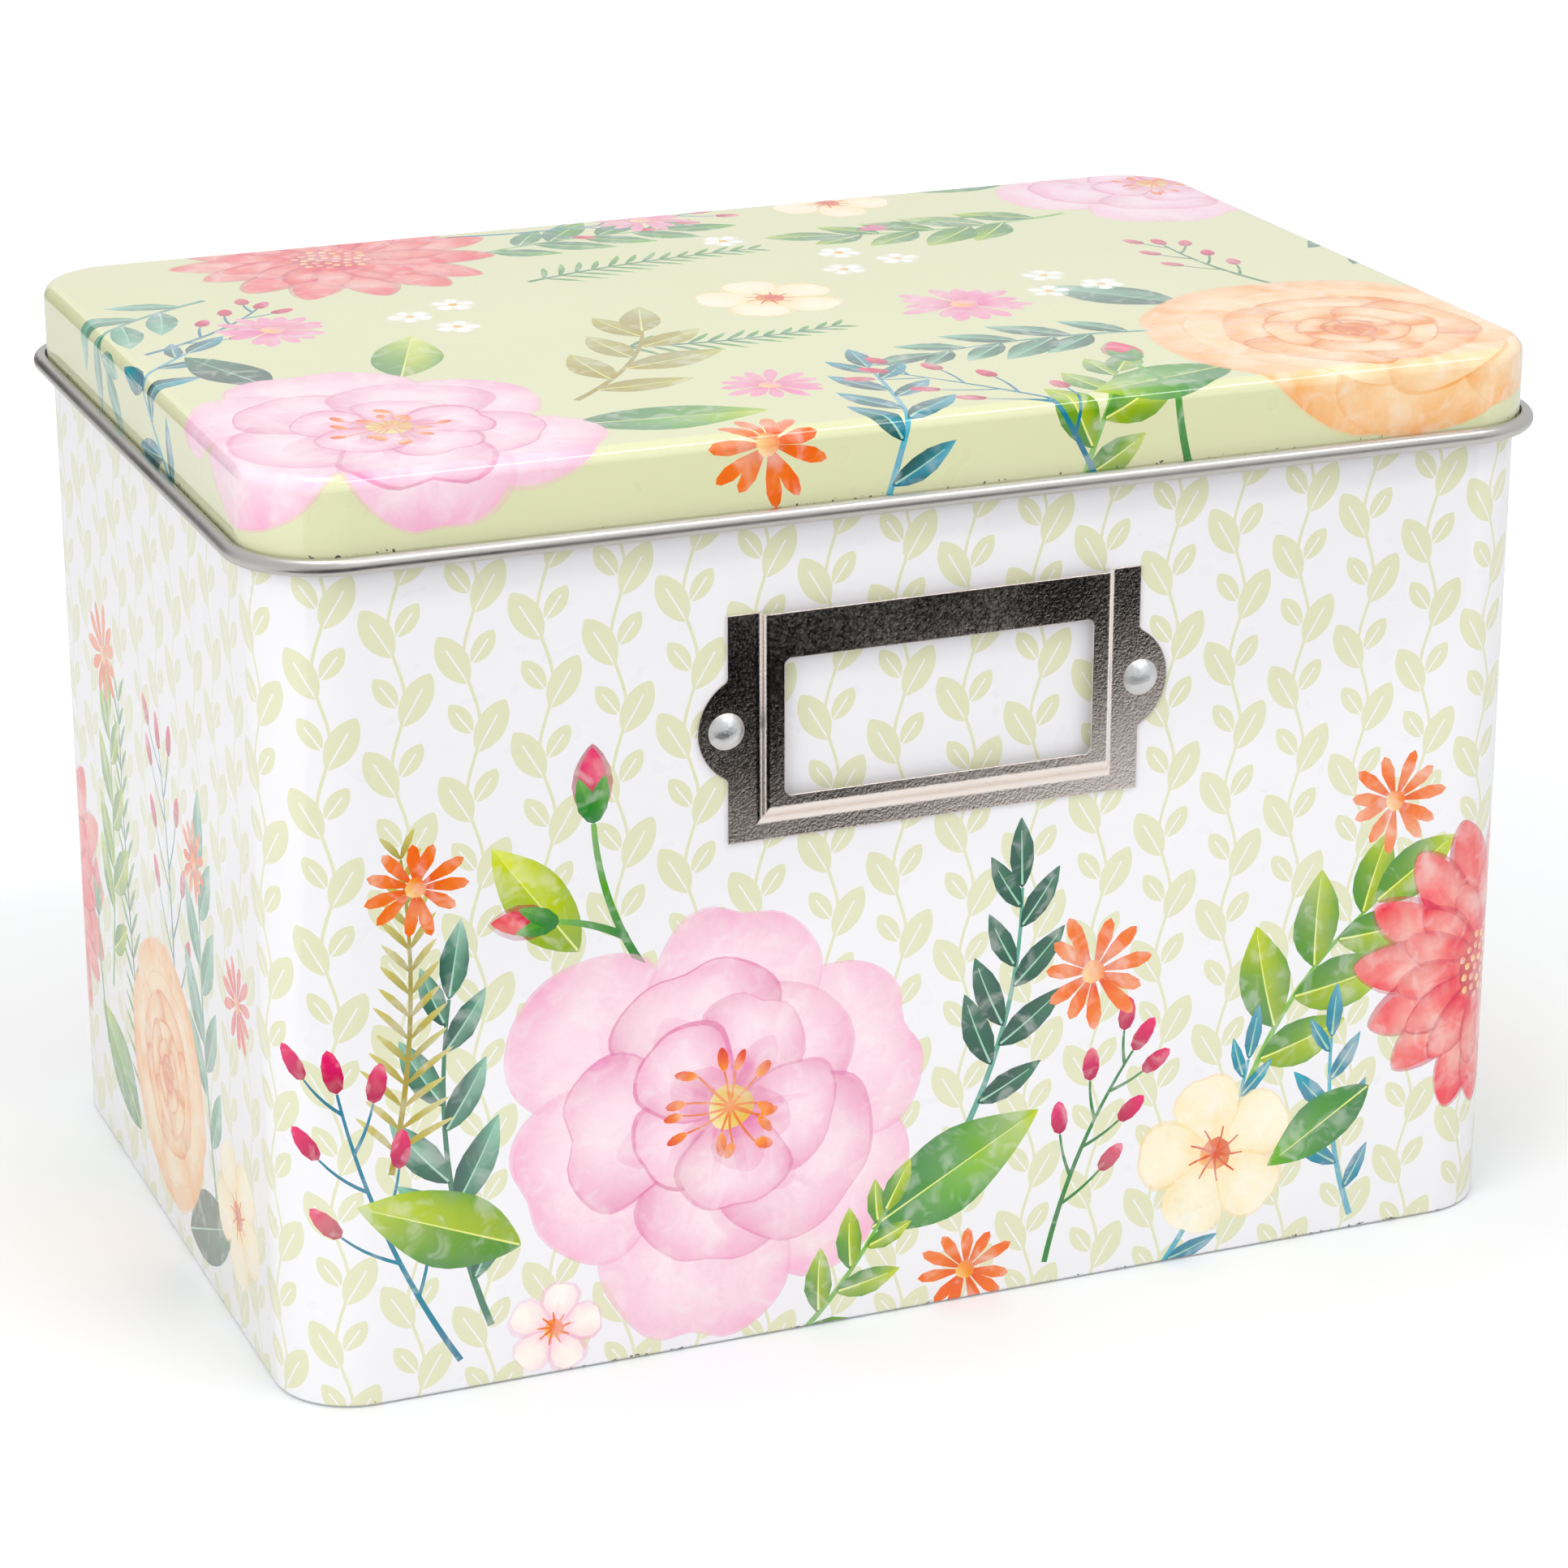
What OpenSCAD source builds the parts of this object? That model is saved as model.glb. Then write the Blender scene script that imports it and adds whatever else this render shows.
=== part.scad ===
// Recipe card box: a printed tinplate body with a slip-on lid and a label
// holder riveted to the front wall.
// Lengths are in millimetres. The origin is the centre of the footprint on
// the table, +Z is up and the front wall faces -Y.

/* [Body] */
// Outside width of the body wall
body_w = 165; // [130:1:220]
// Outside depth of the body wall
body_d = 109; // [80:1:160]
// Height of the body wall from the table to the top of its rim
body_h = 116.3; // [95:0.1:180]
// Outside radius of the four upright corners
corner_r = 10; // [8:0.5:20]
// Sheet thickness of the body wall
body_t = 0.3; // [0.2:0.05:0.4]
// Outside radius of the curl that turns the rim inwards
rim_r = 1.1; // [0.8:0.05:1.6]
// Turn of the rim curl, from the wall round to its raw edge
rim_turn = 285; // [200:5:300]

/* [Back seam] */
// Width of the folded seam that closes the wall at the back
seam_w = 5; // [3:0.5:8]
// Depth of the folded layers inside the wall
seam_fold = 0.6; // [0.4:0.1:1]
// Width of the line that the seam leaves on the outside
seam_line_w = 0.4; // [0.2:0.1:0.8]
// Depth of the line that the seam leaves on the outside
seam_line_t = 0.12; // [0.05:0.01:0.15]

/* [Base] */
// Sheet thickness of the base plate
base_t = 0.3; // [0.2:0.05:0.4]
// Clearance between the hooked layers of the base seam
hook_gap = 0.15; // [0.1:0.05:0.3]
// Outside radius of the hook's two bends, with the flat it stands on between
hook_bend_r = 0.45; // [0.42:0.01:0.5]
// Height of the floor above the table, beside the wall
floor_h = 3.3; // [2.5:0.1:6]
// Width of the floor's border round its raised panel
floor_border = 5; // [3:0.5:6]
// Rise of the floor's panel above its border
floor_step = 0.8; // [0.4:0.1:1.2]

/* [Lid] */
// Height of the lid from the underside of its curl to its top face
lid_h = 11.25; // [8:0.25:40]
// Sheet thickness of the lid
lid_t = 0.3; // [0.2:0.05:0.4]
// Clearance between the skirt and the body wall
lid_gap = 0.45; // [0.2:0.05:1]
// Outside radius of the bend between the lid's top and skirt
lid_bend_r = 1.8; // [1:0.1:4]
// Outside radius of the curl along the skirt's lower edge
curl_r = 1.05; // [0.8:0.05:1.5]
// Turn of the skirt's curl, from the skirt round to its raw edge
curl_turn = 295; // [220:5:300]

/* [Label holder] */
// Width of the holder between its straight sides
holder_w = 54; // [48:0.5:90]
// Height of the holder
holder_h = 28.6; // [26:0.2:45]
// Height of the holder's centre above the table
holder_z = 80.3; // [30:0.1:84]
// Sheet thickness of the holder
holder_t = 0.4; // [0.3:0.05:0.6]
// Height of the raised panel's face above the body wall
holder_rise = 1.65; // [1.2:0.05:2.5]
// Width of the flat strips that lie on the wall at both sides
strip_w = 3.6; // [3.2:0.1:5]
// Width of the upright steps between those strips and the raised panel
rib_w = 1.25; // [1:0.05:2]
// Height of the flat strip that lies on the wall at the bottom
foot_h = 2; // [1.5:0.1:3]
// Width of the sloping step between that strip and the raised panel
slope_w = 2.5; // [1.5:0.1:3]
// Width of the window
window_w = 40.4; // [20:0.2:42]
// Height of the window
window_h = 17.2; // [8:0.2:18]
// Corner radius of the window
window_r = 0.9; // [0.4:0.1:3]
// Reach of the ears beyond the straight sides
ear_out = 3.8; // [3.2:0.1:5]
// Radius of the ears
ear_r = 7; // [5:0.1:8]
// Radius of the hollow where an ear meets the straight side
ear_fillet = 1; // [0.5:0.1:2]

/* [Rivets] */
// Distance of the rivets outside the straight sides
rivet_out = 0.2; // [0:0.1:1]
// Diameter of the domed heads
head_d = 4.6; // [3.6:0.1:5]
// Height of the domed heads
head_h = 1.3; // [0.8:0.1:2]
// Diameter of the shanks
shank_d = 2.4; // [1.6:0.1:2.8]
// Clearance round the shanks in their holes
hole_gap = 0.05; // [0.02:0.01:0.1]
// Diameter of the rolled tails inside the body
tail_d = 3.8; // [3.4:0.1:4.8]
// Thickness of the rolled tails
tail_h = 0.8; // [0.5:0.1:1.2]
// Diameter of the hollow in the tails
hollow_d = 1.3; // [0.6:0.1:1.3]
// Depth of the hollow in the tails
hollow_h = 1.2; // [0.6:0.1:1.3]

/* [Hidden] */
$fn = 72;

// Overlap by which joined outlines cross
bite = 0.01;

// Base seam: the wall turns under as a hook, the base hangs its rim in it
hook_w = 2 * body_t + base_t + 2 * hook_gap;
hook_top = floor_h - base_t;
base_out = body_t + hook_gap;
base_bend_r = base_t + hook_gap;

// The lid settles where the bend under its top first meets the rim
bend_in = lid_bend_r - lid_t;
seat_side = max(0, bend_in - lid_gap - rim_r);
seat_gap = (bend_in - rim_r) - sqrt(pow(bend_in - rim_r, 2) - pow(seat_side, 2));
lid_under = body_h + seat_gap;
lid_top = lid_under + lid_t;
lid_out = lid_gap + lid_t;
curl_z = lid_top - lid_h + curl_r;

// Label holder, in its own plane: X across, Y up, Z away from the wall
panel_x = holder_w / 2 - strip_w - rib_w;
panel_y = -holder_h / 2 + foot_h + slope_w;
ear_x = holder_w / 2 + ear_out - ear_r;
fillet_x = holder_w / 2 + ear_fillet - bite;
fillet_y = sqrt(pow(ear_r + ear_fillet - bite, 2) - pow(fillet_x - ear_x, 2));
rivet_x = holder_w / 2 + rivet_out;
hole_d = shank_d + 2 * hole_gap;

// Part of a flat ring between two radii and two angles
module band(r_out, r_in, a_from, a_to) {
    parts = ceil((a_to - a_from) / 30);
    reach = r_out * 1.2;
    intersection() {
        difference() {
            circle(r = r_out);
            circle(r = r_in);
        }
        polygon(concat([[0, 0]], [for (i = [0:parts])
            let (a = a_from + (a_to - a_from) * i / parts) reach * [cos(a), sin(a)]]));
    }
}

// Rounded rectangle about the origin
module round_rect(w, d, r) {
    union() {
        square([w - 2 * r, d], center = true);
        square([w, d - 2 * r], center = true);
        for (sx = [-1, 1], sy = [-1, 1])
            translate([sx * (w / 2 - r), sy * (d / 2 - r)])
                circle(r = r);
    }
}

// Carries a section along a rounded rectangle. X = 0 in the section is the
// rectangle's edge, with +X outwards, and Y is the height.
module around(w, d, r) {
    for (turn = [0, 180])
        rotate([0, 0, turn]) {
            translate([w / 2, d / 2 - r, 0])
                rotate([90, 0, 0])
                    linear_extrude(height = d - 2 * r)
                        children();
            translate([w / 2 - r, d / 2 - r, 0])
                rotate_extrude(angle = 90)
                    translate([r, 0])
                        children();
            rotate([0, 0, 90])
                translate([d / 2, w / 2 - r, 0])
                    rotate([90, 0, 0])
                        linear_extrude(height = w - 2 * r)
                            children();
            translate([r - w / 2, d / 2 - r, 0])
                rotate([0, 0, 90])
                    rotate_extrude(angle = 90)
                        translate([r, 0])
                            children();
        }
}

// Section of the body wall: hook at the foot, wall, curl at the rim
module wall_section() {
    translate([-body_t, hook_bend_r])
        square([body_t, body_h - rim_r - hook_bend_r]);
    translate([-hook_bend_r, hook_bend_r])
        band(hook_bend_r, hook_bend_r - body_t, 270, 360);
    translate([hook_bend_r - hook_w, 0])
        square([hook_w - 2 * hook_bend_r, body_t]);
    translate([hook_bend_r - hook_w, hook_bend_r])
        band(hook_bend_r, hook_bend_r - body_t, 180, 270);
    translate([-hook_w, hook_bend_r])
        square([body_t, hook_top - hook_bend_r]);
    translate([-rim_r, body_h - rim_r])
        band(rim_r, rim_r - body_t, 0, rim_turn);
}

// The folded layers of the back seam, between the floor and the rim curl
module seam_layers() {
    foot = floor_h + floor_step;
    head = body_h - 2 * rim_r;
    translate([-seam_w / 2, body_d / 2 - body_t - seam_fold, foot])
        cube([seam_w, seam_fold + bite, head - foot]);
}

module rivet_holes() {
    for (s = [-1, 1])
        translate([s * rivet_x, 0, holder_z])
            rotate([90, 0, 0])
                cylinder(d = hole_d, h = body_d);
}

module body_wall() {
    color("whitesmoke")
    difference() {
        union() {
            around(body_w, body_d, corner_r)
                wall_section();
            seam_layers();
        }
        rivet_holes();
        translate([-seam_w / 2, body_d / 2 - seam_line_t, hook_w])
            cube([seam_line_w, 1, body_h - hook_w - 2 * rim_r]);
    }
}

// Section of the base plate: rim hung in the hook, border and step
module base_section() {
    drop = body_t + hook_gap;
    edge = floor_border + base_out;
    translate([-base_out - base_t, drop])
        square([base_t, floor_h - base_bend_r - drop]);
    translate([-base_out - base_bend_r, floor_h - base_bend_r])
        band(base_bend_r, base_bend_r - base_t, 0, 90);
    translate([-edge, floor_h - base_t])
        square([edge - base_out - base_bend_r, base_t]);
    polygon([
        [-edge, floor_h - base_t],
        [-edge, floor_h],
        [-edge - floor_step, floor_h + floor_step],
        [-edge - floor_step, floor_h + floor_step - base_t]
    ]);
}

module base_plate() {
    inset = floor_border + base_out + floor_step;
    color("silver")
    union() {
        around(body_w, body_d, corner_r)
            base_section();
        translate([0, 0, floor_h + floor_step - base_t])
            linear_extrude(height = base_t)
                round_rect(body_w - 2 * inset, body_d - 2 * inset, corner_r - inset);
    }
}

// Section of the lid's edge: bend, skirt and the outward curl. X = 0 is the
// outside of the skirt.
module lid_section() {
    translate([-lid_bend_r, lid_top - lid_bend_r])
        band(lid_bend_r, bend_in, 0, 90);
    translate([-lid_t, curl_z])
        square([lid_t, lid_top - lid_bend_r - curl_z]);
    translate([curl_r - lid_t, curl_z])
        band(curl_r, curl_r - lid_t, 180, 180 + curl_turn);
}

module lid() {
    w = body_w + 2 * lid_out;
    d = body_d + 2 * lid_out;
    r = corner_r + lid_out;
    color("palegreen")
    union() {
        around(w, d, r)
            lid_section();
        translate([0, 0, lid_under])
            linear_extrude(height = lid_t)
                round_rect(w - 2 * lid_bend_r, d - 2 * lid_bend_r, r - lid_bend_r);
    }
}

// Area under one face of the holder's sheet where it steps down, in two
// arcs, from the raised panel at X < 0 to the wall. lay is 0 for the sheet's
// outer face and holder_t for the face towards the wall.
module step_area(w, lay) {
    drop = holder_rise - holder_t;
    r = (drop * drop + w * w) / (4 * drop);
    high = holder_rise - lay;
    low = holder_t - lay;
    mid_x = w / 2 - lay * w / (2 * r);
    mid_y = low + drop / 2 + lay - lay * (1 - drop / (2 * r));
    translate([-holder_w, -1])
        square([holder_w, 1 + high]);
    translate([0, -1])
        square([mid_x, 1 + max(low, holder_rise - r)]);
    intersection() {
        translate([0, holder_rise - r])
            circle(r = r - lay);
        square([mid_x, high]);
    }
    difference() {
        translate([mid_x, -1])
            square([w - mid_x, 1 + mid_y]);
        translate([w, holder_t + r])
            circle(r = r + lay);
    }
    if (low > 0)
        translate([w, -1])
            square([holder_w, 1 + low]);
}

// Outline of the sheet that the holder is stamped from
module holder_outline() {
    square([holder_w, holder_h], center = true);
    for (s = [-1, 1]) {
        translate([s * ear_x, 0])
            circle(r = ear_r);
        for (t = [-1, 1])
            scale([s, t])
                difference() {
                    polygon([[ear_x, 0], [fillet_x, fillet_y], [ear_x, fillet_y]]);
                    translate([fillet_x, fillet_y])
                        circle(r = ear_fillet);
                }
    }
}

// Everything under one face of the sheet: steps at both sides, run up to
// the open top edge, and the sloping step along the bottom
module under_face(lay) {
    long = 2 * holder_w;
    intersection() {
        translate([0, long / 2, 0])
            rotate([90, 0, 0])
                linear_extrude(height = long)
                    intersection_for(s = [0, 1])
                        mirror([s, 0])
                            translate([panel_x, 0])
                                step_area(rib_w, lay);
        translate([-long / 2, 0, 0])
            rotate([90, 0, 90])
                linear_extrude(height = long)
                    mirror([1, 0])
                        translate([-panel_y, 0])
                            step_area(slope_w, lay);
    }
}

module holder_sheet() {
    difference() {
        intersection() {
            linear_extrude(height = holder_rise)
                holder_outline();
            under_face(0);
        }
        under_face(holder_t);
    }
}

module label_holder() {
    color("dimgray")
    translate([0, -body_d / 2, holder_z])
        rotate([90, 0, 0])
            difference() {
                holder_sheet();
                translate([0, 0, -1])
                    linear_extrude(height = holder_rise + 2)
                        round_rect(window_w, window_h, window_r);
                for (s = [-1, 1])
                    translate([s * rivet_x, 0, -1])
                        cylinder(d = hole_d, h = holder_t + 2);
            }
}

// Half section of a rivet, turned about Y. Y = 0 is the outside of the wall.
module rivet_section() {
    dome_r = (pow(head_d / 2, 2) + pow(head_h, 2)) / (2 * head_h);
    tail_y = -body_t - tail_h;
    difference() {
        union() {
            intersection() {
                translate([0, holder_t + head_h - dome_r])
                    circle(r = dome_r);
                translate([0, holder_t])
                    square([head_d, head_h]);
            }
            translate([0, tail_y])
                square([shank_d / 2, holder_t - tail_y + bite]);
            translate([0, tail_y])
                square([tail_d / 2 - tail_h / 2, tail_h]);
            translate([tail_d / 2 - tail_h / 2, tail_y + tail_h / 2])
                circle(d = tail_h);
        }
        translate([0, tail_y - 1])
            square([hollow_d / 2, 1 + hollow_h]);
    }
}

module rivet(side) {
    color("gainsboro")
    translate([side * rivet_x, -body_d / 2, holder_z])
        rotate([90, 0, 0])
            rotate_extrude()
                rivet_section();
}

module rivet_left() {
    rivet(-1);
}

module rivet_right() {
    rivet(1);
}

body_wall();
base_plate();
lid();
label_holder();
rivet_left();
rivet_right();
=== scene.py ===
"""Looks for the recipe card box: a printed tin with a slip-on lid and a riveted label holder."""

import math

import bpy
import numpy as np
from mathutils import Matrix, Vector
from mathutils.geometry import delaunay_2d_cdt


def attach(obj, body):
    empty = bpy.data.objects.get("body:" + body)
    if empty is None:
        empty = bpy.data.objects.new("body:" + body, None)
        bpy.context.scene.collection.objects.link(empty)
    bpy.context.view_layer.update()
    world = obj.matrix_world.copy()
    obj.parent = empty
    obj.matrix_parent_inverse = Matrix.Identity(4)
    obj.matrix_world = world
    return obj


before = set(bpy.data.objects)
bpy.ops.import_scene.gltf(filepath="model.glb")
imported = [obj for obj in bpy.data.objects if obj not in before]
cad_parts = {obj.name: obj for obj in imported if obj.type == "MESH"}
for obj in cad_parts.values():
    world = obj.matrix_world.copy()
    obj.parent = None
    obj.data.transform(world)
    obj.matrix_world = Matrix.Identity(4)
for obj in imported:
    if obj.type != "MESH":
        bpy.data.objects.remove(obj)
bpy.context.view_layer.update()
scene = bpy.context.scene
bpy.ops.object.select_all(action="DESELECT")


# ---------------------------------------------------------------- Camera
# Long lens on a stand, left of the front wall and above the lid, aimed a
# little under the middle of the box.
view_turn, view_rise = math.radians(-22.03), math.radians(19.9)
aim, distance = Vector((0.0033, 0.0023, 0.0504)), 0.6185
back = Vector(
    (
        math.sin(view_turn) * math.cos(view_rise),
        -math.cos(view_turn) * math.cos(view_rise),
        math.sin(view_rise),
    )
)
lens = bpy.data.cameras.new("camera")
lens.sensor_width = 36
lens.lens = 106.3
lens.clip_start = 0.01
camera = bpy.data.objects.new("camera", lens)
scene.collection.objects.link(camera)
camera.location = aim + back * distance
camera.rotation_euler = back.to_track_quat("Z", "Y").to_euler()
scene.camera = camera
scene.view_settings.view_transform = "Standard"


# ---------------------------------------------------------------- Studio
# White table and surroundings, lit from above, left and front; a narrow lamp
# draws the bright line on the lid's bend. Two dark cards that only reflections
# see give the bright metal something to mirror.
def node(tree, kind, inputs=None, **settings):
    """Adds a node; its inputs are sockets to link or plain values."""
    made = tree.nodes.new(kind)
    for name, value in settings.items():
        setattr(made, name, value)
    for name, value in (inputs or {}).items():
        socket = made.inputs[name]
        if isinstance(value, bpy.types.NodeSocket):
            tree.links.new(value, socket)
        else:
            socket.default_value = value
    return made


def maths(tree):
    """Short form for arithmetic nodes in one tree."""

    def run(operation, a, b=0.0, c=0.0):
        return node(tree, "ShaderNodeMath", {0: a, 1: b, 2: c}, operation=operation).outputs[0]

    return run


def fresh(name):
    """A new material with its own surface shader, and that shader."""
    material = bpy.data.materials.new(name)
    material.use_nodes = True
    return material, material.node_tree, material.node_tree.nodes["Principled BSDF"]


def soft_step(tree, value, start, stop, low, high):
    """Value that rises softly from low to high while its input goes from start to stop."""
    span = {"Value": value, "From Min": start, "From Max": stop, "To Min": low, "To Max": high}
    return node(tree, "ShaderNodeMapRange", span, interpolation_type="SMOOTHSTEP").outputs[0]


def lamp(name, size, place, target, watts, tint, mirrored=True):
    """Rectangular lamp; mirrored says whether glossy surfaces show it."""
    light = bpy.data.lights.new(name, "AREA")
    light.shape = "RECTANGLE"
    light.size, light.size_y = size
    light.energy = watts
    light.color = tint
    thing = bpy.data.objects.new(name, light)
    scene.collection.objects.link(thing)
    thing.visible_glossy = mirrored
    thing.location = place
    thing.rotation_euler = (Vector(place) - Vector(target)).to_track_quat("Z", "Y").to_euler()


lamp("lamp_above", (0.7, 0.4), (-0.1, 0.03, 1.1), (0, 0, 0.06), 2.6, (1.0, 1.0, 1.0))
lamp("lamp_strip", (0.6, 0.12), (0.385, -0.47, 0.92), (0.385, -0.055, 0.116), 2.1, (1.0, 1.0, 1.0))
lamp("lamp_left", (0.7, 0.9), (-0.95, -0.7, 0.75), (0, 0, 0.06), 6.0, (1.0, 0.995, 0.99), False)
lamp("lamp_front", (0.7, 0.5), (0.35, -1.3, 0.8), (0, 0, 0.06), 0.6, (0.98, 0.99, 1.0))

world = bpy.data.worlds.new("world")
scene.world = world
world.use_nodes = True
sky = world.node_tree
sky.nodes.clear()
rays = node(sky, "ShaderNodeLightPath")
do = maths(sky)
seen = do("MAXIMUM", rays.outputs["Is Camera Ray"], rays.outputs["Is Glossy Ray"])
seen = do("MAXIMUM", seen, rays.outputs["Is Transmission Ray"])
plain = node(sky, "ShaderNodeMapRange", {"Value": seen, "To Min": 0.69, "To Max": 0.74})
plain = do("MAXIMUM", plain.outputs[0], rays.outputs["Is Camera Ray"])
sky_light = node(sky, "ShaderNodeBackground", {"Color": (1, 1, 1, 1), "Strength": plain})
node(sky, "ShaderNodeOutputWorld", {"Surface": sky_light.outputs[0]})

bpy.ops.mesh.primitive_plane_add(size=1, location=(0, 0, -0.0002))
table = bpy.context.object
table.name = "table"
table.scale = (9, 9, 1)
paint, tree, shader = fresh("white table")
shader.inputs["Base Color"].default_value = (0.80, 0.80, 0.80, 1)
shader.inputs["Roughness"].default_value = 0.7
shader.inputs["Specular IOR Level"].default_value = 0.1
# Painted light: only the camera sees this glow. The table glows cool white, faintly near the box and more strongly
# further out, which thins and shortens its cast shadow.
rays = node(tree, "ShaderNodeLightPath")
where = node(tree, "ShaderNodeTexCoord")
away = node(tree, "ShaderNodeVectorMath", {0: where.outputs["Object"]}, operation="LENGTH")
glow = soft_step(tree, away.outputs["Value"], 0.011, 0.045, 0.14, 0.5)
painted_glow = maths(tree)("MULTIPLY", rays.outputs["Is Camera Ray"], glow)
shader.inputs["Emission Color"].default_value = (0.84, 0.93, 1.0, 1)
tree.links.new(painted_glow, shader.inputs["Emission Strength"])
table.data.materials.append(paint)


def card(name, size, place, tilt, turn, colour):
    """Sets up a dark card that only reflections see; gives its node tree and shader."""
    angles = (math.radians(tilt), 0, math.radians(turn))
    bpy.ops.mesh.primitive_plane_add(size=1, location=place, rotation=angles)
    thing = bpy.context.object
    thing.name = name
    thing.scale = (*size, 1)
    thing.visible_camera = False
    thing.visible_diffuse = False
    thing.visible_shadow = False
    thing.visible_transmission = False
    material, tree, shader = fresh(name.replace("_", " "))
    shader.inputs["Base Color"].default_value = (colour, colour, colour, 1)
    shader.inputs["Roughness"].default_value = 0.9
    shader.inputs["Specular IOR Level"].default_value = 0.0
    thing.data.materials.append(material)
    return tree, shader


card("grey_screen", (0.62, 0.42), (-0.43, 0.74, 0.2), 90, 30, 0.10)
# One edge of the black card glows warm white, a painted reflection of the white table, so that the card fades to that
# white in the metal.
tree, shader = card("black_card", (1.62, 1.2), (0.2716, -0.9578, 0.003), 0, -26, 0.004)
where = node(tree, "ShaderNodeTexCoord")
along = node(tree, "ShaderNodeSeparateXYZ", {0: where.outputs["Object"]})
edge_glow = soft_step(tree, along.outputs["Y"], 0.48, 0.5, 0.0, 0.8)
shader.inputs["Emission Color"].default_value = (1.0, 0.97, 0.94, 1)
tree.links.new(edge_glow, shader.inputs["Emission Strength"])


# ------------------------------------------------------- Body of the box
# One tinplate sheet, white-coated and printed outside, bent round to four
# rounded corners. Inside, rim curl and foot hook are bare tin. The print is
# a skin of its own, built up of flat painted shapes.
def new_group(name, takes, gives):
    """An empty node group with its sockets, and the sockets at its two ends."""
    group = bpy.data.node_groups.new(name, "ShaderNodeTree")
    for way, sockets in (("INPUT", takes), ("OUTPUT", gives)):
        for label, kind in sockets.items():
            group.interface.new_socket(label, in_out=way, socket_type="NodeSocket" + kind)
    return group, node(group, "NodeGroupInput").outputs, node(group, "NodeGroupOutput").inputs


def noise(tree, where, scale, detail, **more):
    """Strength of a noise pattern."""
    inputs = {"Vector": where, "Scale": scale, "Detail": detail, **more}
    return node(tree, "ShaderNodeTexNoise", inputs).outputs["Fac"]


def spread(tree, value, start, stop, low, high):
    """Value between low and high while its input goes from start to stop."""
    span = {"Value": value, "From Min": start, "From Max": stop, "To Min": low, "To Max": high}
    return node(tree, "ShaderNodeMapRange", span).outputs[0]


def blend(tree, factor, first, second):
    """Mix of two colours; each is a socket or a constant."""
    mix = tree.nodes.new("ShaderNodeMix")
    mix.data_type = "RGBA"
    for place, value in ((0, factor), (6, first), (7, second)):
        if isinstance(value, bpy.types.NodeSocket):
            tree.links.new(value, mix.inputs[place])
        else:
            mix.inputs[place].default_value = (*value, 1)
    return mix.outputs[2]


def worn_group():
    """Node group: uneven sheen and fine dents of worked metal."""
    takes = {"Scale": "Float", "Smoothest": "Float", "Roughest": "Float", "Stretch": "Vector"}
    group, start, end = new_group("worked metal", takes, {"Roughness": "Float", "Height": "Float"})
    where = node(group, "ShaderNodeTexCoord").outputs["Object"]
    spot = node(group, "ShaderNodeVectorMath", {0: where, 1: start["Stretch"]}, operation="MULTIPLY").outputs[0]
    fine = noise(group, spot, start["Scale"], 4.0, Roughness=0.6)
    broad = noise(group, where, 38.0, 3.0)
    both = maths(group)("ADD", fine, broad)
    group.links.new(spread(group, both, 0.7, 1.3, start["Smoothest"], start["Roughest"]), end["Roughness"])
    group.links.new(fine, end["Height"])
    return group


worn = worn_group()


def metal(name, colour, scale, smooth, coarse, stretch, dent, edge=0.0):
    """Bare metal; edge is the radius that sheared edges are rounded to."""
    material, tree, shader = fresh(name)
    marks = node(tree, "ShaderNodeGroup", node_tree=worn)
    marks.inputs["Scale"].default_value = scale
    marks.inputs["Smoothest"].default_value = smooth
    marks.inputs["Roughest"].default_value = coarse
    marks.inputs["Stretch"].default_value = stretch
    bump = node(tree, "ShaderNodeBump", {"Height": marks.outputs["Height"], "Strength": 1.0, "Distance": dent})
    if edge:
        round_edge = node(tree, "ShaderNodeBevel", {"Radius": edge}, samples=4)
        tree.links.new(round_edge.outputs[0], bump.inputs["Normal"])
    shader.inputs["Base Color"].default_value = (*colour, 1)
    shader.inputs["Metallic"].default_value = 1.0
    tree.links.new(marks.outputs["Roughness"], shader.inputs["Roughness"])
    tree.links.new(bump.outputs[0], shader.inputs["Normal"])
    return material


def dress(name, material):
    """Gives a solid its material."""
    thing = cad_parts[name]
    thing.data.materials.clear()
    thing.data.materials.append(material)


dress("body_wall", metal("bare tin", (0.88, 0.875, 0.86), 260.0, 0.44, 0.58, (1, 1, 0.35), 0.000003))

# Measures of the tin, in millimetres.
body_w, body_d, corner_r = 165.0, 109.0, 10.0
foot_bend = 0.45
print_top = 114.5
print_foot = -0.12
skin = 0.03
half_w, half_d = body_w / 2 - corner_r, body_d / 2 - corner_r
quarter = corner_r * math.pi / 2
half_round = half_w + quarter + 2 * half_d + quarter + half_w
seam_near, seam_far, seam_deep, seam_step = 2.1, 2.5, 0.12, 0.02
corner_cuts = 16


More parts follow.
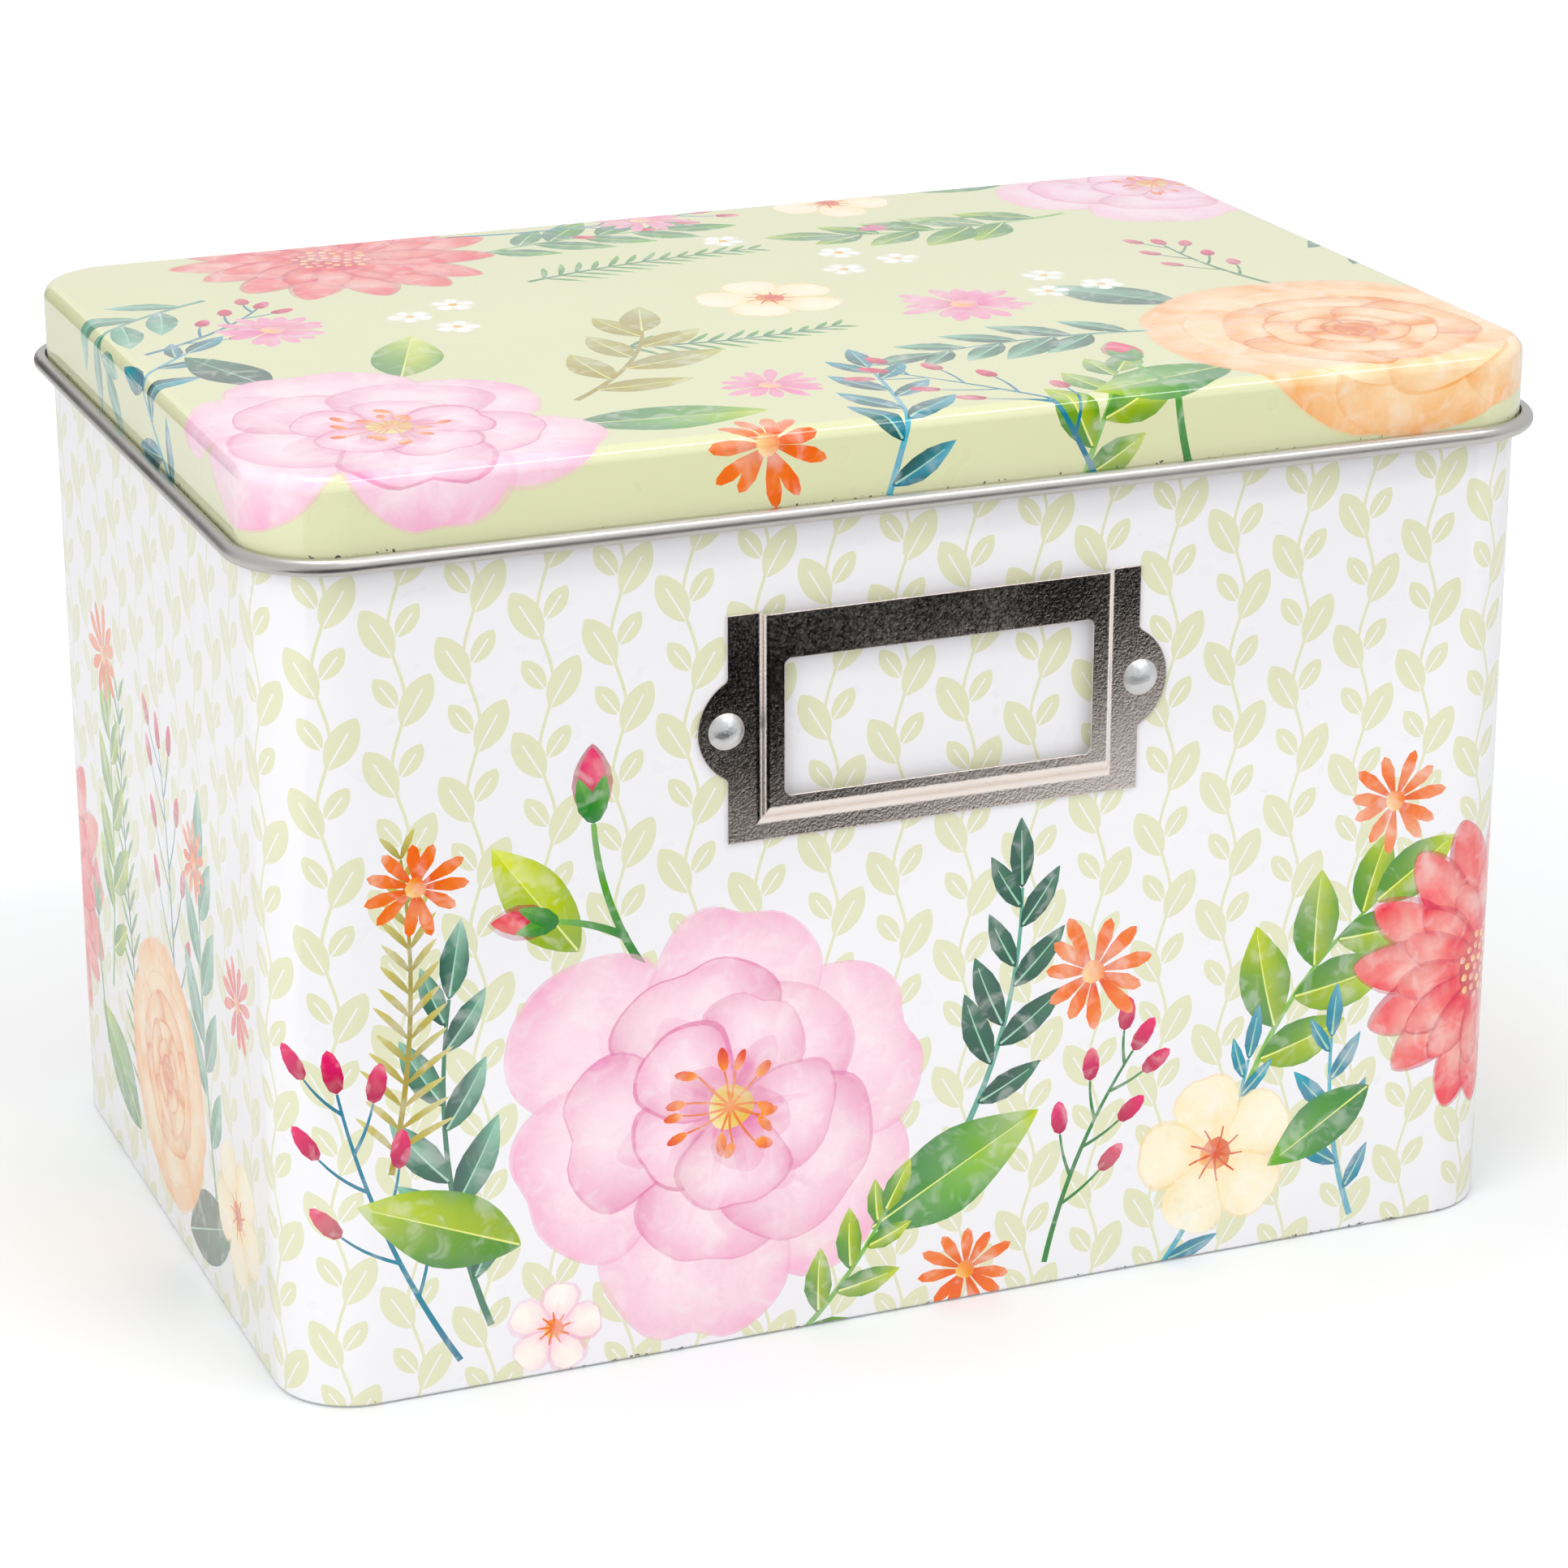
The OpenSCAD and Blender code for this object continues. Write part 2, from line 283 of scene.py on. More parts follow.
def wall_place(s, z):
    """Point and outward direction on the wall, from the run round it and the height."""
    side = np.where(s < 0, -1.0, 1.0)
    run = np.abs(s)
    marks = np.cumsum([half_w, quarter, 2 * half_d, quarter, half_w])
    turn = np.clip((run - marks[0]) / corner_r, 0, math.pi / 2) + np.clip((run - marks[2]) / corner_r, 0, math.pi / 2)
    nx, ny = np.sin(turn), -np.cos(turn)
    along_front = np.clip(run, 0, marks[0])
    along_side = np.clip(run - marks[1], 0, 2 * half_d)
    along_back = np.clip(run - marks[3], 0, half_w)
    bend = np.clip((foot_bend - z) / foot_bend, 0, math.pi / 2)
    seam = [0] + [edge + step for edge in (seam_near, seam_far) for step in (-seam_step, seam_step)]
    sunk = np.interp(s + half_round, seam, [0, 0, seam_deep, seam_deep, 0])
    reach = corner_r - foot_bend * (1 - np.cos(bend)) + (skin - sunk) * np.cos(bend)
    x = along_front - along_back + nx * reach
    y = -half_d + along_side + ny * reach
    height = np.where(z < foot_bend, foot_bend * (1 - np.sin(bend)) - skin * np.sin(bend), z)
    point = np.stack([side * x, y, height], axis=1)
    normal = np.stack([side * nx * np.cos(bend), ny * np.cos(bend), -np.sin(bend)], axis=1)
    return point, normal


class Sheet:
    """Painted shapes on a flat sheet, in millimetres, the lowest first."""

    def __init__(self, seed):
        self.shapes = []
        self.dice = np.random.RandomState(seed)

    def lay(self, outline, tones, foot, angle, reach, veil=(1.0, 1.0), width=0.0, side=None):
        """Adds a shape; tones and veil, its cover, run from its foot along the angle."""
        self.shapes.append((np.asarray(outline), tones, np.asarray(foot, float), angle, reach, veil, width, side))


def turned(points, angle, foot):
    """Points turned by an angle and moved to a foot."""
    c, s = math.cos(angle), math.sin(angle)
    return np.asarray(points) @ np.array([[c, s], [-s, c]]) + np.asarray(foot)


def blade(length, width, belly=0.5, blunt=1.0, curl=0.0, notch=0.0, wobble=0.0, phase=0.0):
    """Outline of a leaf or petal that grows along X from its foot, and its middle line."""
    steps = int(np.clip(max(length, 1.4 * width) / 1.25, 5, 26))
    t = (1 - np.cos(np.linspace(0, math.pi, steps + 1))) / 2
    half = width / 2 * np.sin(math.pi * t ** (math.log(0.5) / math.log(belly))).clip(0) ** blunt
    rise = curl * length * t * t
    edges = []
    for sign in (1, -1):
        b = half * (1 + wobble * np.sin(9 * t + phase + 2 * sign))
        a = t * length - notch * length * t**6 * np.exp(-((b / (0.16 * width)) ** 2))
        edges.append(np.stack([a, rise + sign * b], axis=1))
    outline = np.concatenate([edges[0], edges[1][-2:0:-1]])
    middle = np.stack([t * length, rise], axis=1)
    return outline, edges[0], middle


def petal(sheet, foot, angle, length, width, tones, edge, belly=0.66, blunt=0.5, notch=0.0, wobble=0.05, streaks=3):
    """A painted petal: broken darker edge, washed inside, a side shadow and faint streaks."""
    dice = sheet.dice
    outline, _, _ = blade(length, width, belly, blunt, dice.uniform(-0.05, 0.05), notch, wobble, dice.uniform(0, 6))
    firm = dice.uniform(0.2, 0.75)
    sheet.lay(turned(outline, angle, foot), [tones[0], edge, edge], foot, angle, length, (0.6, firm))
    thin = dice.uniform(0.5, 1.0)
    shift = dice.uniform(-0.25, 0.25) * thin
    inner = (outline - [length * 0.5, 0]) * [1 - 0.9 * thin / length, 1 - 1.5 * thin / width] + [length * 0.5, shift]
    sheet.lay(turned(inner, angle, foot), tones, foot, angle, length, (1.0, 0.96), width, edge)
    if streaks > 1:
        sign = dice.choice((-1, 1))
        far, broad, phase = dice.uniform(0.6, 0.86), dice.uniform(0.3, 0.5), dice.uniform(0, 6)
        shadow, _, _ = blade(length * far, width * broad, 0.5, 0.6, sign * 0.12, 0.0, 0.12, phase)
        sheet.lay(turned(shadow, angle + sign * 0.1, foot), [edge, edge, tones[1]], foot, angle, length, (0.5, 0.02))
        far, broad, phase = 0.42, dice.uniform(0.2, 0.34), dice.uniform(0, 6)
        light, _, _ = blade(length * far, width * broad, 0.6, 0.6, 0.0, 0.0, 0.1, phase)
        start = turned([[length * 0.5, -sign * 0.12 * width]], angle, foot)[0]
        pale = [min(255, tone + 12) for tone in tones[-2]]
        sheet.lay(turned(light, angle, start), [pale, pale], start, angle, length * far, (0.28, 0.0))
    for k in range(streaks):
        tilt = dice.uniform(-0.34, 0.34) * width / length
        long = length * dice.uniform(0.4, 0.8)
        mark, _, _ = blade(long, width * dice.uniform(0.05, 0.13), 0.55, 0.8)
        start = turned([[length * 0.08, 0]], angle, foot)[0]
        sheet.lay(turned(mark, angle + tilt, start), [edge, edge, tones[-1]], start, angle, long, (0.4, 0.05))


def disc(radius, steps=16, wobble=0.0, phase=0.0):
    """Outline of a disc, a little out of round."""
    a = np.linspace(0, 2 * math.pi, steps, endpoint=False)
    r = radius * (1 + wobble * np.sin(3 * a + phase))
    return np.stack([r * np.cos(a), r * np.sin(a)], axis=1)


def dot(sheet, centre, radius, tones, veil=(1.0, 1.0), steps=12):
    """A painted round spot."""
    ring = disc(radius, steps, 0.06, sheet.dice.uniform(0, 6)) + centre
    sheet.lay(ring, tones, np.asarray(centre) - [radius, radius * 0.4], 0.6, 2 * radius, veil)


def curve(start, angle, length, bend, steps):
    """Points and headings along a stem that bends steadily."""
    t = np.linspace(0, 1, steps)
    heading = angle + bend * t
    step = length / (steps - 1)
    move = np.stack([np.cos(heading), np.sin(heading)], axis=1) * step
    points = np.vstack([[0, 0], np.cumsum(move[:-1], axis=0)]) + start
    return points, heading


def stem(sheet, points, heading, thick, thin, tones):
    """A painted line that narrows from foot to tip."""
    side = np.stack([-np.sin(heading), np.cos(heading)], axis=1)
    half = np.linspace(thick, thin, len(points))[:, None] / 2
    outline = np.concatenate([points + side * half, (points - side * half)[::-1]])
    sheet.lay(outline, tones, points[0], heading[0], np.linalg.norm(points[-1] - points[0]), (1.0, 1.0))


def leaf(sheet, foot, angle, length, width, tones, shade, vein, belly=0.45, blunt=0.9, curl=0.0):
    """A painted leaf: wash along it, one darker half, a pale midrib."""
    outline, edge, middle = blade(length, width, belly, blunt, curl, 0.0, 0.04, sheet.dice.uniform(0, 6))
    sheet.lay(turned(outline, angle, foot), tones, foot, angle, length, (1.0, 1.0), width, shade)
    half = np.concatenate([edge, middle[-2:0:-1]])
    sheet.lay(turned(half, angle, foot), [shade, shade, tones[0]], foot, angle, length, (0.75, 0.15))
    if vein is not None and length > 5:
        inner = slice(1, int(len(middle) * 0.85))
        rib = turned(middle[inner], angle, foot)
        run = np.gradient(rib, axis=0)
        stem(sheet, rib, np.arctan2(run[:, 1], run[:, 0]), 0.32, 0.1, [vein, vein])


def leafy(sheet, start, angle, length, bend, pairs, size, tones, shade, vein, stalk, splay, slim):
    """A stem with leaves set alternately, and one at the tip."""
    points, heading = curve(start, angle, length, bend, 14)
    stem(sheet, points, heading, 0.9, 0.45, [stalk, stalk])
    taper = 0.35
    for k in range(pairs * 2):
        at = 0.18 + 0.74 * k / (pairs * 2 - 1)
        i = int(round(at * 13))
        sign = 1 if k % 2 else -1
        long = size * (1 - taper * abs(at - 0.45) * 1.6) * sheet.dice.uniform(0.9, 1.1)
        way = heading[i] + sign * splay * (1.1 - 0.3 * at)
        leaf(sheet, points[i], way, long, long * slim, tones, shade, vein, curl=-sign * 0.08)
    leaf(sheet, points[-1], heading[-1], size * 0.85, size * 0.85 * slim, tones, shade, vein)


def berries(sheet, start, angle, length, bend, count, fruit, fruit_deep, stalk, long=2.6, wide=1.9):
    """A thin stem whose side shoots each end in a long berry."""
    points, heading = curve(start, angle, length, bend, 16)
    stem(sheet, points, heading, 0.8, 0.35, [stalk, stalk])
    for k in range(count):
        at = 0.3 + 0.66 * k / max(1, count - 1)
        i = min(15, int(round(at * 15)))
        sign = 1 if k % 2 else -1
        shoot, way = curve(points[i], heading[i] + sign * 0.75, length * 0.2 * (1.25 - 0.5 * at), -sign * 0.3, 6)
        stem(sheet, shoot, way, 0.5, 0.3, [stalk, stalk])
        berry, _, _ = blade(long, wide, 0.45, 0.5)
        sheet.lay(turned(berry, way[-1], shoot[-1]), [fruit_deep, fruit], shoot[-1], way[-1], long)
    tip, _, _ = blade(long * 1.1, wide, 0.45, 0.5)
    sheet.lay(turned(tip, heading[-1], points[-1]), [fruit_deep, fruit], points[-1], heading[-1], long)


def needles(sheet, start, angle, length, bend, count, size, tones, stalk):
    """A stem with narrow leaves close together, like rosemary."""
    points, heading = curve(start, angle, length, bend, count + 2)
    stem(sheet, points, heading, 0.8, 0.35, [stalk, stalk])
    for k in range(1, count + 2):
        at = k / (count + 1)
        for sign in (1, -1):
            long = size * (1 - 0.45 * at) * sheet.dice.uniform(0.85, 1.15)
            needle, _, _ = blade(long, 0.95, 0.5, 0.7, sign * 0.12)
            way = heading[k] + sign * (0.85 - 0.4 * at)
            sheet.lay(turned(needle, way, points[k]), tones, points[k], way, long)


def wild_rose(sheet, centre, radius, turn, pale, mid, deep, counts=(6, 5, 5), sizes=(1.0, 0.74, 0.48)):
    """A wide open blossom in layers of notched petals, with a ring of stamens."""
    centre = np.asarray(centre, float)
    dice = sheet.dice
    for level, (count, size) in enumerate(zip(counts, sizes)):
        heart = centre + radius * 0.04 * level * np.array([math.cos(turn), math.sin(turn)])
        for k in dice.permutation(count):
            way = turn + 0.4 * level + k * 2 * math.pi / count + dice.uniform(-0.14, 0.14)
            long = radius * size * dice.uniform(0.86, 1.06)
            tones = [deep, mid, pale, pale, mid] if level else [mid, pale, pale, pale, mid]
            wide = long * (5.2 / count) * dice.uniform(0.88, 1.04)
            edge = deep if level else mid
            belly, blunt, notch = dice.uniform(0.58, 0.68), dice.uniform(0.42, 0.56), dice.uniform(0, 0.09)
            petal(sheet, heart, way, long, wide, tones, edge, belly, blunt, notch, 0.06, 3)
    dot(sheet, heart, radius * 0.1, [(240, 226, 150), (226, 180, 96)], steps=14)
    stamens = 13
    for k in range(stamens):
        way = turn + k * 2 * math.pi / stamens + dice.uniform(-0.16, 0.16)
        long = radius * dice.uniform(0.1, 0.24)
        points, heading = curve(heart, way, long, dice.uniform(-0.5, 0.5), 5)
        stem(sheet, points, heading, 0.4, 0.25, [(240, 170, 120), (232, 120, 70)])
        dab, _, _ = blade(radius * dice.uniform(0.07, 0.11), radius * dice.uniform(0.04, 0.06), 0.5, 0.5)
        dab = turned(dab, heading[-1] + dice.uniform(-0.8, 0.8), points[-1])
        sheet.lay(dab, [(250, 160, 70), (222, 76, 44)], points[-1], way, radius * 0.1)


def gerbera(sheet, centre, radius, turn, pale, mid, deep, petals=15):
    """A flat flower of many narrow petals in two layers round a beaded eye."""
    centre = np.asarray(centre, float)
    for level in range(2):
        size = radius * (1.0, 0.7)[level]
        for k in range(petals):
            way = turn + (k + 0.5 * level) * 2 * math.pi / petals + sheet.dice.uniform(-0.06, 0.06)
            long = size * sheet.dice.uniform(0.9, 1.05)
            wide = radius * (0.36, 0.27)[level]
            petal(sheet, centre, way, long, wide, [deep, mid, pale, mid], deep, 0.62, 0.6, 0.0, 0.04, 1)
    dot(sheet, centre, radius * 0.24, [deep, mid], steps=18)
    beads, golden_angle = 34, 2.39996
    for k in range(beads):
        away = radius * 0.24 * math.sqrt((k + 0.5) / beads)
        way = k * golden_angle
        spot = centre + away * np.array([math.cos(way), math.sin(way)])
        bead = [(255, 226, 170), (246, 170, 96)] if k % 2 else [(250, 206, 190), (238, 140, 110)]
        dot(sheet, spot, radius * 0.026, bead, steps=7)


def round_rose(sheet, centre, radius, turn, pale, mid, deep):
    """A full rose seen from above: rings of broad cupped petals closing on a whorl."""
    centre = np.asarray(centre, float)
    for level, (size, count) in enumerate(((1.0, 7), (0.8, 6), (0.61, 5), (0.44, 5), (0.28, 4))):
        for k in range(count):
            way = turn + 0.5 * level + k * 2 * math.pi / count + sheet.dice.uniform(-0.1, 0.1)
            long = radius * size * sheet.dice.uniform(0.95, 1.03)
            tones = [deep, deep, mid, pale, pale] if level % 2 else [deep, mid, mid, pale, mid]
            wide, edge = long * (1.05 if count > 5 else 1.25), mid if level < 2 else deep
            petal(sheet, centre, way, long, wide, tones, edge, 0.72, 0.4, 0.0, 0.04, 2)
    for k in range(5):
        way = turn + k * 1.9
        start = centre + radius * (0.16 - 0.02 * k) * np.array([math.cos(way), math.sin(way)])
        points, heading = curve(start, way + 1.7, radius * (0.34 - 0.04 * k), 2.2, 10)
        stem(sheet, points, heading, 0.9, 0.25, [deep, deep])


def aster(sheet, centre, radius, turn, tone, deep, petals=11):
    """A small star of teardrop petals."""
    centre = np.asarray(centre, float)
    for k in range(petals):
        way = turn + k * 2 * math.pi / petals + sheet.dice.uniform(-0.1, 0.1)
        long = radius * sheet.dice.uniform(0.82, 1.08)
        ray, _, _ = blade(long, radius * 0.27, 0.7, 0.6)
        sheet.lay(turned(ray, way, centre), [deep, tone, tone], centre, way, long)
    dot(sheet, centre, radius * 0.2, [(252, 210, 120), tone], steps=10)


def small_bloom(sheet, centre, radius, turn, pale, mid, eye):
    """A small flower of five rounded petals."""
    centre = np.asarray(centre, float)
    for k in range(5):
        way = turn + k * 2 * math.pi / 5
        streaks = 0 if radius < 5 else 1
        petal(sheet, centre, way, radius, radius * 0.86, [mid, pale, pale], mid, 0.66, 0.5, 0.04, 0.03, streaks)
    dot(sheet, centre, radius * 0.2, eye, steps=9)
    if radius > 6:
        for k in range(9):
            way = turn + k * 0.7
            points, heading = curve(centre, way, radius * 0.34, 0.3, 4)
            stem(sheet, points, heading, 0.45, 0.2, [eye[1], eye[1]])


def bud(sheet, start, angle, length, bend, size, tone, deep, green, green_deep):
    """A closed bud on a curved stalk, with two green sepals."""
    points, heading = curve(start, angle, length, bend, 12)
    stem(sheet, points, heading, 1.1, 0.7, [green_deep, green])
    tip, way = points[-1], heading[-1]
    petal(sheet, tip, way, size, size * 0.52, [deep, tone, tone], deep, 0.5, 0.75, 0.0, 0.0, 2)
    for sign in (1, -1):
        sepal = (size * 0.62, size * 0.26, [green_deep, green], green_deep, None, 0.42, 0.8)
        leaf(sheet, tip, way + sign * 0.28, *sepal)


pink_pale, pink_mid, pink_deep = (250, 222, 233), (243, 184, 208), (222, 128, 166)
coral_pale, coral_mid, coral_deep = (248, 158, 150), (238, 104, 104), (205, 62, 78)
peach_pale, peach_mid, peach_deep = (253, 222, 178), (248, 184, 124), (230, 124, 52)
lime, lime_deep, lime_pale = (196, 212, 66), (142, 172, 44), (226, 234, 140)
grass, grass_deep, grass_pale = (126, 184, 84), (58, 128, 66), (190, 220, 140)
pine, pine_deep = (70, 128, 100), (32, 78, 66)
mint, mint_deep = (164, 208, 186), (104, 164, 146)
sea, sea_deep = (96, 176, 196), (44, 126, 152)
straw, straw_deep = (214, 204, 124), (166, 152, 70)
cherry, cherry_deep = (236, 72, 118), (176, 28, 72)
orange, orange_deep = (242, 128, 66), (222, 82, 36)
cream, cream_mid = (255, 246, 220), (250, 222, 160)

body_sheet = Sheet(7)


def front_garden(sheet, s):
    """Motifs of the long walls, centred on s."""
    leafy(sheet, (s - 58, 8), 1.9, 44, -0.5, 4, 12, [pine, mint], pine_deep, mint, pine, 0.7, 0.36)
    needles(sheet, (s - 70, 30), 1.35, 40, 0.35, 13, 7.5, [straw_deep, straw], straw_deep)
    berries(sheet, (s - 62, 4), 2.1, 40, -0.35, 6, cherry, cherry_deep, sea_deep, 5.2, 2.6)
    leafy(sheet, (s + 4, 22), 1.1, 34, 0.5, 4, 11, [pine_deep, pine], pine_deep, mint, mint_deep, 0.75, 0.36)
    leaf(sheet, (s - 8, 12), 0.5, 26, 11, [grass_deep, grass, lime], grass_deep, lime_pale)
    leaf(sheet, (s - 54, 18), 2.75, 22, 10, [lime_deep, lime], grass_deep, lime_pale)
    leaf(sheet, (s - 46, 55), 2.2, 18, 8, [lime_deep, lime, lime_pale], lime_deep, lime_pale)
    bud(sheet, (s - 38, 52), 2.1, 20, -0.5, 10, cherry, cherry_deep, grass, grass_deep)
    bud(sheet, (s - 40, 56), 2.6, 9, 0.4, 9, coral_mid, cherry_deep, grass, grass_deep)
    wild_rose(sheet, (s - 29, 31), 30, 0.3, pink_pale, pink_mid, pink_deep)
    leafy(sheet, (s + 44, 22), 1.2, 30, -0.6, 3, 16, [lime_deep, lime], grass_deep, lime_pale, grass, 0.85, 0.5)
    berries(sheet, (s + 16, 3), 1.35, 30, -0.4, 6, cherry, cherry_deep, grass_deep, 4.6, 2.4)
    leafy(sheet, (s + 30, -4), 0.9, 34, 0.5, 4, 9, [sea_deep, sea], sea_deep, mint, sea, 0.7, 0.3)
    small_bloom(sheet, (s + 40, 14), 11.5, 0.5, cream, cream_mid, [(250, 190, 90), orange_deep])
    leafy(sheet, (s + 60, 2), 1.9, 26, -0.4, 3, 9, [sea_deep, sea], sea_deep, mint, sea, 0.8, 0.32)
    leafy(sheet, (s - 20, -3), 0.7, 22, 0.4, 3, 9, [lime_deep, lime], grass_deep, lime_pale, grass, 0.8, 0.42)
    aster(sheet, (s + 22, 42), 8, 0.2, orange, orange_deep)
    aster(sheet, (s - 66, 66), 6.5, 0.5, orange, orange_deep)
    aster(sheet, (s + 64, 59), 7, 0.1, orange, orange_deep)
    aster(sheet, (s + 5, 4), 6.5, 0.4, orange, orange_deep)
    small_bloom(sheet, (s - 50, 6), 6.5, 0.1, (255, 250, 240), pink_mid, [(250, 214, 120), orange])
    gerbera(sheet, (s + 80, 34), 21, 0.1, coral_pale, coral_mid, coral_deep)
    leaf(sheet, (s + 62, 20), 3.7, 17, 7.5, [grass_deep, grass], grass_deep, lime_pale)


def end_garden(sheet, s):
    """Motifs of the short walls, centred on s."""
    needles(sheet, (s - 14, 10), 1.8, 58, -0.3, 17, 8.5, [pine, grass], pine_deep)
    berries(sheet, (s + 2, 22), 1.4, 46, 0.4, 8, cherry, cherry_deep, sea_deep, 4.6, 2.4)
    leafy(sheet, (s + 20, 14), 1.75, 44, -0.3, 4, 13, [mint_deep, mint], pine, mint, mint_deep, 0.7, 0.4)
    leafy(sheet, (s - 30, 24), 1.3, 40, 0.3, 4, 12, [lime_deep, lime], grass_deep, lime_pale, grass, 0.75, 0.42)
    leaf(sheet, (s - 18, 8), 2.6, 22, 10, [grass_deep, grass, lime], grass_deep, lime_pale)
    leaf(sheet, (s + 6, 4), 0.4, 24, 10, [pine_deep, pine], pine_deep, mint)
    round_rose(sheet, (s - 2, 22), 18, 0.2, peach_pale, peach_mid, peach_deep)
    small_bloom(sheet, (s + 30, 16), 10, 0.9, cream, cream_mid, [(250, 190, 90), orange_deep])
    aster(sheet, (s - 26, 72), 7, 0.3, orange, orange_deep)
    aster(sheet, (s + 16, 58), 5.5, 0.3, orange, orange_deep)
    aster(sheet, (s + 34, 46), 6.5, 0.7, coral_mid, coral_deep)
    bud(sheet, (s - 34, 14), 1.9, 18, -0.4, 9, cherry, cherry_deep, grass, grass_deep)


end_middle = half_w + quarter + half_d
front_garden(body_sheet, 0.0)
at_seam = half_round - 1e-3
front_garden(body_sheet, at_seam)
front_garden(body_sheet, -at_seam)
end_garden(body_sheet, -end_middle)
end_garden(body_sheet, end_middle)


def inside(points, outline):
    """Which points lie in the outline, counted by how often it winds round them."""
    x, y = points[:, :1], points[:, 1:]
    ax, ay = outline.T
    bx, by = np.roll(outline, -1, axis=0).T
    crossed = (ay > y) != (by > y)
    at = ax + (y - ay) * (bx - ax) / np.where(ay == by, 1.0, by - ay)
    return np.sum(np.where(crossed & (x < at), np.where(by > ay, 1, -1), 0), axis=1) != 0


def near(order, points, outline):
    """Indices of points in the outline, out of points sorted by their first coordinate."""
    low, high = outline.min(0), outline.max(0)
    first, last = np.searchsorted(points[:, 0], [low[0], high[0]])
    rows = np.arange(first, last)
    rows = rows[(points[rows, 1] > low[1]) & (points[rows, 1] < high[1])]
    return order[rows[inside(points[rows], outline)]]


def build_print(name, sheet, lines, low, high, grid, place, keep, bake, ground):
    """Triangulates the sheet's shapes and carries them on to the tin."""
    shapes = [s for s in sheet.shapes if (s[0].max(0) > low).all() and (s[0].min(0) < high).all()]
    gx, gy = np.meshgrid(np.arange(low[0] + grid, high[0], grid), np.arange(low[1] + grid, high[1], grid))
    dots = np.stack([gx.ravel(), gy.ravel()], axis=1)
    dots += sheet.dice.uniform(-0.25, 0.25, dots.shape) * grid
    order = np.argsort(dots[:, 0])
    dots = dots[order]
    used = np.zeros(len(dots), bool)
    for shape in shapes:
        if (shape[0].max(0) - shape[0].min(0)).min() > 1.5 * grid:
            used[near(np.arange(len(dots)), dots, shape[0])] = True
    spots, edges = [], []
    for line in lines + [np.vstack([s[0], s[0][:1]]) for s in shapes]:
        first = len(spots)
        spots += [Vector(p) for p in line]
        edges += [(first + i, first + i + 1) for i in range(len(line) - 1)]
    spots += [Vector(p) for p in dots[used]]
    flat, _, tris, *_ = delaunay_2d_cdt(spots, edges, [], 0, 1e-5, False)
    flat = np.array([(p.x, p.y) for p in flat])
    tris = np.array(tris)
    middle = flat[tris].mean(1)
    a, b, c = (flat[tris[:, k]] for k in range(3))
    area = (b[:, 0] - a[:, 0]) * (c[:, 1] - a[:, 1]) - (b[:, 1] - a[:, 1]) * (c[:, 0] - a[:, 0])
    sliver = 1e-7
    kept = keep(middle) & (np.abs(area) > sliver)
    tris, middle = tris[kept], middle[kept]
    used = np.unique(tris)
    back_to = np.full(len(flat), -1)
    back_to[used] = np.arange(len(used))
    flat, tris = flat[used], back_to[tris]

    colour = np.tile(np.append(np.array(ground, float) / 255, 0.0), (len(tris), 3, 1))
    order = np.argsort(middle[:, 0])
    ranked = middle[order]
    for outline, tones, foot, angle, reach, veil, width, side in shapes:
        rows = near(order, ranked, outline)
        if not len(rows):
            continue
        away = flat[tris[rows]] - foot
        along = (away @ [math.cos(angle), math.sin(angle)]) / reach
        across = away @ [-math.sin(angle), math.cos(angle)]
        t = np.clip(along, 0, 1)
        stops = np.linspace(0, 1, len(tones))
        paint = np.stack([np.interp(t, stops, [tone[j] / 255 for tone in tones]) for j in range(3)], axis=2)
        if side is not None:
            lean = (np.clip(np.abs(across) * 2 / width, 0, 1) ** 2.5 * 0.6)[..., None]
            paint = paint * (1 - lean) + np.array(side) / 255 * lean
        alpha = (veil[0] + (veil[1] - veil[0]) * t)[..., None]
        old = colour[rows]
        total = alpha + old[..., 3:] * (1 - alpha)
        mixed = (paint * alpha + old[..., :3] * old[..., 3:] * (1 - alpha)) / np.maximum(total, 1e-6)
        colour[rows] = np.concatenate([mixed, total], axis=2)
    # The tones are screen values; the shader takes linear ones.
    rgb = colour[..., :3]
    colour[..., :3] = np.where(rgb <= 0.04045, rgb / 12.92, ((rgb + 0.055) / 1.055) ** 2.4)

    points, normals = place(flat)
    mesh = bpy.data.meshes.new(name)
    mesh.from_pydata((points / 1000).tolist(), [], tris.tolist())
    mesh.update()
    layer = mesh.color_attributes.new("paint", "FLOAT_COLOR", "CORNER")
    layer.data.foreach_set("color", colour.reshape(-1, 4).astype(np.float32).ravel())
    run = mesh.attributes.new("sheet", "FLOAT_VECTOR", "POINT")
    run.data.foreach_set("vector", np.column_stack([flat, np.zeros(len(flat))]).astype(np.float32).ravel())
    chart = mesh.uv_layers.new(name="OFBake")
    corners = bake(flat[tris].reshape(-1, 2), np.repeat(middle, 3, axis=0))
    chart.data.foreach_set("uv", corners.astype(np.float32).ravel())
    mesh.polygons.foreach_set("use_smooth", np.ones(len(tris), bool))
    mesh.normals_split_custom_set_from_vertices(normals.tolist())
    thing = bpy.data.objects.new(name, mesh)
    scene.collection.objects.link(thing)
    return thing


